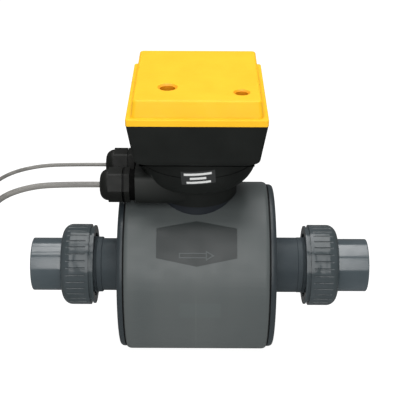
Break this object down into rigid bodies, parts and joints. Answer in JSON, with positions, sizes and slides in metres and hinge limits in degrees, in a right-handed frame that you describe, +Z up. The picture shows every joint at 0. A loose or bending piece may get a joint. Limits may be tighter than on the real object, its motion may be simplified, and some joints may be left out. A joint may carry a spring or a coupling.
{
  "type": "electromagnetic flow meter",
  "caption": "Electromagnetic flow meter with a round grey magnet housing, union ends for cemented plastic pipe, and a black electronics head with a yellow lid.",
  "frame": {"origin": "centre of the mouth of the inlet socket, on the pipe axis", "axes": "+X along the pipe in the flow direction, +Y to the back, +Z up from the pipe to the electronics head"},
  "size_m": [0.3728, 0.2224, 0.2299],
  "materials": {
    "grey_pvc": "glossy moulded blue-grey PVC",
    "dark_pvc": "satin dark blue-grey PVC",
    "housing_pvc": "satin grey",
    "liner": "plain grey PVC",
    "steel": "plain",
    "copper": "enamelled copper wire",
    "black_plastic": "fine matt texture",
    "yellow_plastic": "satin moulded yellow",
    "gland_nylon": "satin black nylon",
    "rubber": "matt",
    "board": "green board varnish",
    "terminal_green": "moulded green",
    "cable_jacket": "grey jacket",
    "lead_jacket": "red sleeve"
  },
  "bodies": {
    "meter": {"board": "board", "board_screws": "steel", "coil_lead": "lead_jacket", "drum": "housing_pvc", "electrode_nuts": "steel", "front_cable": "cable_jacket", "front_cable_coil": "cable_jacket", "front_cable_core": "cable_jacket", "front_electrode": "steel", "front_electrode_lead": "lead_jacket", "front_gland_body": "gland_nylon", "front_gland_seal": "rubber", "front_terminals": "terminal_green", "housing": "black_plastic", "housing_screws": "steel", "inlet_adapter": "grey_pvc", "inlet_cap": "dark_pvc", "inlet_cap_gasket": "rubber", "inlet_o_ring": "rubber", "junction_base": "black_plastic", "lid_gasket": "rubber", "lower_bobbin": "black_plastic", "lower_pole_shoe": "steel", "lower_winding": "copper", "measuring_tube": "liner", "outlet_adapter": "grey_pvc", "outlet_cap": "dark_pvc", "outlet_cap_gasket": "rubber", "outlet_o_ring": "rubber", "power_module": "black_plastic", "rear_cable": "cable_jacket", "rear_cable_coil": "cable_jacket", "rear_cable_core": "cable_jacket", "rear_electrode": "steel", "rear_electrode_lead": "lead_jacket", "rear_gland_body": "gland_nylon", "rear_gland_seal": "rubber", "rear_terminals": "terminal_green", "return_yoke": "steel", "seam_gasket": "rubber", "turret_collar": "dark_pvc", "turret_gasket": "rubber", "turret_nut": "black_plastic", "upper_bobbin": "black_plastic", "upper_pole_shoe": "steel", "upper_winding": "copper", "yoke_screws": "steel"},
    "inlet_end": {"inlet_union_end": "grey_pvc"},
    "inlet_nut": {"inlet_union_nut": "grey_pvc"},
    "outlet_end": {"outlet_union_end": "grey_pvc"},
    "outlet_nut": {"outlet_union_nut": "grey_pvc"},
    "cover": {"lid": "yellow_plastic"},
    "left_screw": {"left_lid_screw": "steel"},
    "right_screw": {"right_lid_screw": "steel"},
    "front_insert": {"front_gland_insert": "rubber"},
    "front_dome": {"front_gland_nut": "gland_nylon"},
    "rear_insert": {"rear_gland_insert": "rubber"},
    "rear_dome": {"rear_gland_nut": "gland_nylon"}
  },
  "joints": [
    {"name": "inlet_end_draw", "type": "slide", "parent": "meter", "child": "inlet_end", "axis": [-1, 0, 0], "range_m": [0, 0.01616]},
    {"name": "inlet_nut_turn", "type": "hinge", "parent": "inlet_end", "child": "inlet_nut", "pos_m": [0.1321, 0, 0], "axis": [-1, 0, 0], "range_deg": [0, 2520]},
    {"name": "outlet_end_draw", "type": "slide", "parent": "meter", "child": "outlet_end", "axis": [1, 0, 0], "range_m": [0, 0.01616]},
    {"name": "outlet_nut_turn", "type": "hinge", "parent": "outlet_end", "child": "outlet_nut", "pos_m": [0.1321, 0, 0], "axis": [1, 0, 0], "range_deg": [0, 2520]},
    {"name": "front_insert_draw", "type": "slide", "parent": "meter", "child": "front_insert", "axis": [-1, 0, 0], "range_m": [0, 0.00599]},
    {"name": "front_dome_turn", "type": "hinge", "parent": "front_insert", "child": "front_dome", "pos_m": [0.1321, -0.0175, 0.081], "axis": [-1, 0, 0], "range_deg": [0, 1440]},
    {"name": "rear_insert_draw", "type": "slide", "parent": "meter", "child": "rear_insert", "axis": [-1, 0, 0], "range_m": [0, 0.00599]},
    {"name": "rear_dome_turn", "type": "hinge", "parent": "rear_insert", "child": "rear_dome", "pos_m": [0.1321, 0.0175, 0.081], "axis": [-1, 0, 0], "range_deg": [0, 1440]},
    {"name": "cover_lift", "type": "slide", "parent": "meter", "child": "cover", "axis": [0, 0, 1], "range_m": [0, 0.06]},
    {"name": "left_screw_turn", "type": "hinge", "parent": "cover", "child": "left_screw", "pos_m": [0.1108, -0.0235, 0.15], "axis": [0, 0, 1], "range_deg": [0, 2880]},
    {"name": "right_screw_turn", "type": "hinge", "parent": "cover", "child": "right_screw", "pos_m": [0.1637, -0.0332, 0.15], "axis": [0, 0, 1], "range_deg": [0, 2880]}
  ],
  "couplings": [
    {"joint": "inlet_nut_turn", "follows": "inlet_end_draw", "rad_per_m": 2721.2},
    {"joint": "outlet_nut_turn", "follows": "outlet_end_draw", "rad_per_m": 2721.2},
    {"joint": "front_dome_turn", "follows": "front_insert_draw", "rad_per_m": 4188.8},
    {"joint": "rear_dome_turn", "follows": "rear_insert_draw", "rad_per_m": 4188.8}
  ]
}
